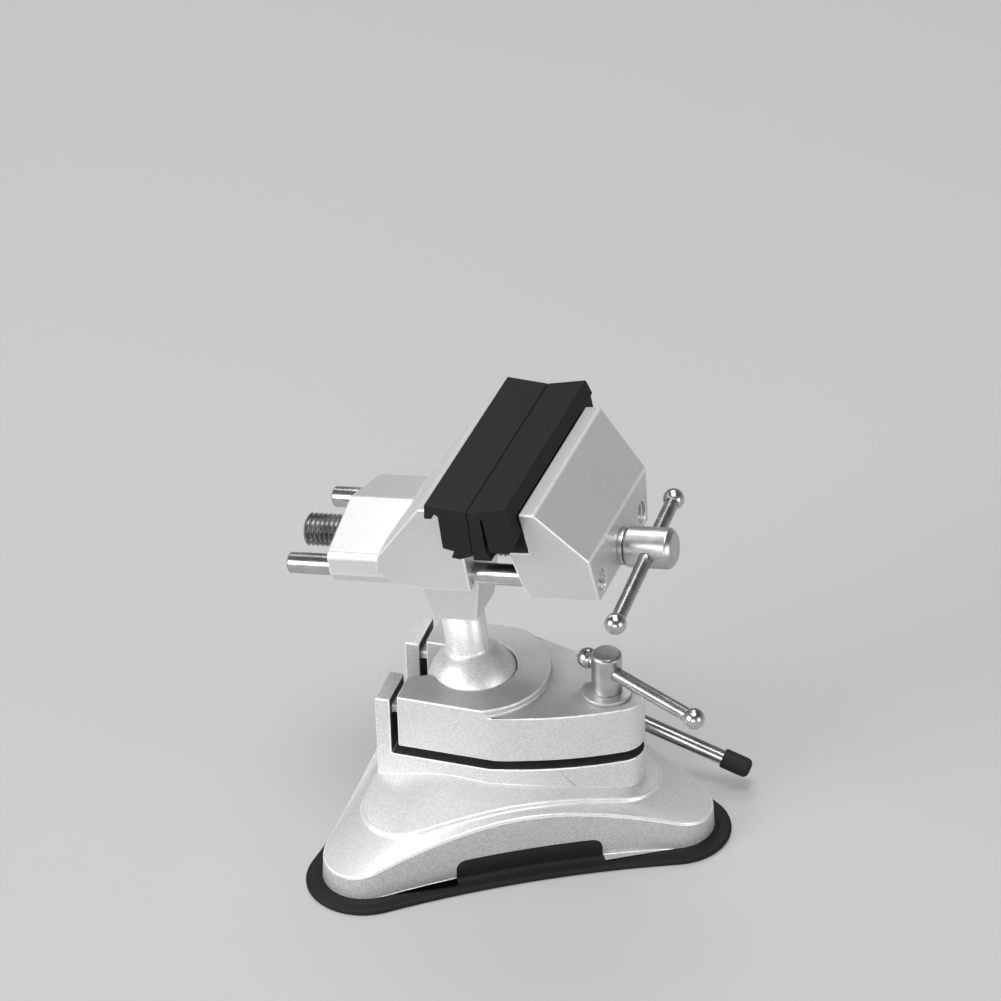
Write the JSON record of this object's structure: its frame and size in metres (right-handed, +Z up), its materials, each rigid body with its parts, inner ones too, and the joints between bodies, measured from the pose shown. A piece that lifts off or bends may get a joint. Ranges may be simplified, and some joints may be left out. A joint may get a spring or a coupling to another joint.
{
  "type": "suction base vise",
  "caption": "Bench vise with a ball-mounted head of two padded jaws, locked by a clamp block over a three-lobed suction foot with a lever.",
  "frame": {"origin": "on the table under the suction pad, straight below the centre of the ball", "axes": "+Z up, +X from the ball towards the clamp screw, +Y towards the lever's side"},
  "size_m": [0.1554, 0.1532, 0.1558],
  "materials": {
    "cast_paint": "die cast, silver sparkle paint",
    "blasted_alloy": "fine blasted, clear coated",
    "bright_steel": "bright plated",
    "plain_steel": "zinc plated",
    "black_rubber": "matt black rubber"
  },
  "bodies": {
    "foot": {"base_casting": "cast_paint", "suction_pad": "black_rubber", "cam_grub_screw": "plain_steel"},
    "suction_stud": {"pull_stud": "plain_steel", "pad_plate": "plain_steel"},
    "lever": {"cam_shaft": "plain_steel", "lever_rod": "bright_steel", "lever_grip": "black_rubber"},
    "clamp_plate": {"clamp_block": "cast_paint"},
    "washer": {"clamp_washer": "bright_steel"},
    "clamp_spindle": {"clamp_screw": "bright_steel"},
    "clamp_handle": {"clamp_bar": "bright_steel", "clamp_bar_ends": "bright_steel"},
    "ball": {"ball_stud": "blasted_alloy"},
    "head": {"fixed_jaw": "blasted_alloy", "fixed_jaw_pad": "black_rubber"},
    "slide": {"moving_jaw": "blasted_alloy", "moving_jaw_pad": "black_rubber", "guide_rod_front": "bright_steel", "guide_rod_rear": "bright_steel"},
    "spindle": {"lead_screw": "bright_steel", "thrust_washer": "bright_steel", "screw_clip": "plain_steel"},
    "spindle_handle": {"lead_bar": "bright_steel", "lead_bar_ends": "bright_steel"}
  },
  "joints": [
    {"name": "lever_turn", "type": "hinge", "parent": "foot", "child": "lever", "pos_m": [0.0081, 0, 0.0282], "axis": [0, -1, 0], "range_deg": [0, 50]},
    {"name": "stud_lift", "type": "slide", "parent": "foot", "child": "suction_stud", "axis": [0, 0, 1], "range_m": [0, 0.0017]},
    {"name": "clamp_turn", "type": "hinge", "parent": "washer", "child": "clamp_spindle", "pos_m": [0.0489, 0, 0.0573], "axis": [0, 0, 1], "range_deg": [0, 180]},
    {"name": "washer_lift", "type": "slide", "parent": "foot", "child": "washer", "axis": [0, 0, 1], "range_m": [0, 0.00063]},
    {"name": "block_lift", "type": "hinge", "parent": "foot", "child": "clamp_plate", "pos_m": [-0.0225, 0, 0.051], "axis": [0, -1, 0], "range_deg": [0, 0.48]},
    {"name": "clamp_bar_slide", "type": "slide", "parent": "clamp_spindle", "child": "clamp_handle", "axis": [-0.8805, 0.4741, 0], "range_m": [0, 0.0327]},
    {"name": "ball_tilt", "type": "hinge", "parent": "foot", "child": "ball", "pos_m": [0, 0, 0.051], "axis": [0, -0.9986, 0.0528], "range_deg": [-22.5, 72.5]},
    {"name": "head_swivel", "type": "hinge", "parent": "ball", "child": "head", "pos_m": [0, 0, 0.051], "axis": [-0.1303, 0.0523, 0.9901], "continuous": true},
    {"name": "jaw_slide", "type": "slide", "parent": "head", "child": "slide", "axis": [0.9911, -0.0192, 0.1315], "range_m": [0, 0.049]},
    {"name": "lead_turn", "type": "hinge", "parent": "slide", "child": "spindle", "pos_m": [0.06497, 0.00172, 0.11976], "axis": [0.9911, -0.0192, 0.1315], "range_deg": [0, 10081]},
    {"name": "lead_bar_slide", "type": "slide", "parent": "spindle", "child": "spindle_handle", "axis": [0.0116, 0.9983, 0.0578], "range_m": [-0.0168, 0.0314]}
  ],
  "couplings": [
    {"joint": "stud_lift", "follows": "lever_turn", "m_per_rad": 0.0019371},
    {"joint": "washer_lift", "follows": "clamp_turn", "m_per_rad": 0.00019894},
    {"joint": "block_lift", "follows": "clamp_turn", "ratio": 0.0026162},
    {"joint": "lead_turn", "follows": "jaw_slide", "rad_per_m": 3590.4}
  ]
}
